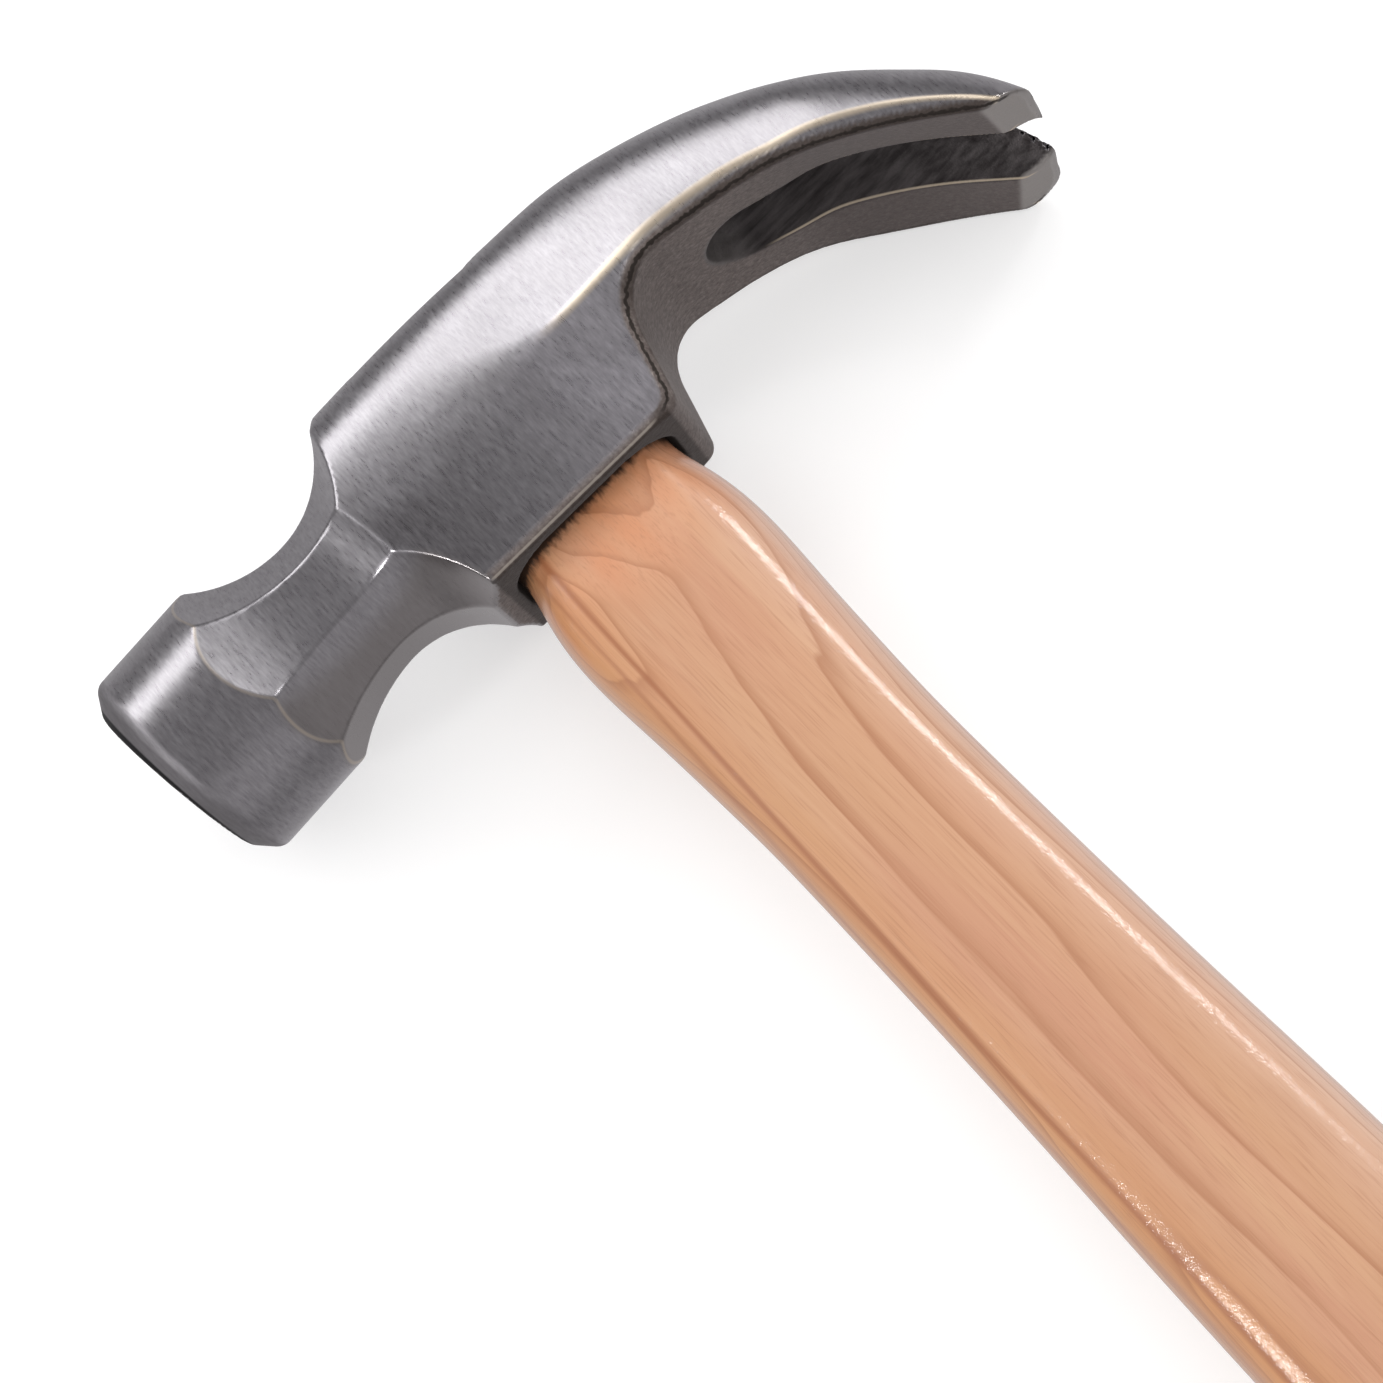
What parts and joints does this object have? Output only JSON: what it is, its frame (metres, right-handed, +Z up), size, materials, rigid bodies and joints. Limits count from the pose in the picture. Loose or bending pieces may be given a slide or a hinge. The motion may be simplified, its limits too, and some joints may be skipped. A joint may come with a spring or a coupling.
{
  "type": "claw hammer",
  "caption": "Curved claw hammer: forged steel head with a round bell, hollow octagonal neck and V-slotted claw, wedged onto a waisted hickory handle.",
  "frame": {"origin": "middle of the underside of the whole hammer's box as it lies on its side, level with the lowest point of the claw's tip", "axes": "+X from the striking face to the claw, +Y along the handle from its butt to the top of the head, +Z up through the cheeks"},
  "size_m": [0.1264, 0.3298, 0.0386],
  "materials": {
    "forged_steel": "ground and belt-brushed forged steel, satin, with fine strokes across the head",
    "hickory": "clear-lacquered hickory, straight long grain, glossy",
    "wedge_wood": "plain sawn hardwood, lightly lacquered",
    "wedge_steel": "plain mild steel, dull, struck"
  },
  "bodies": {
    "root": {"hammer_head": "forged_steel", "handle": "hickory", "wood_wedge": "wedge_wood", "steel_wedge_poll_side": "wedge_steel", "steel_wedge_claw_side": "wedge_steel"}
  },
  "joints": []
}
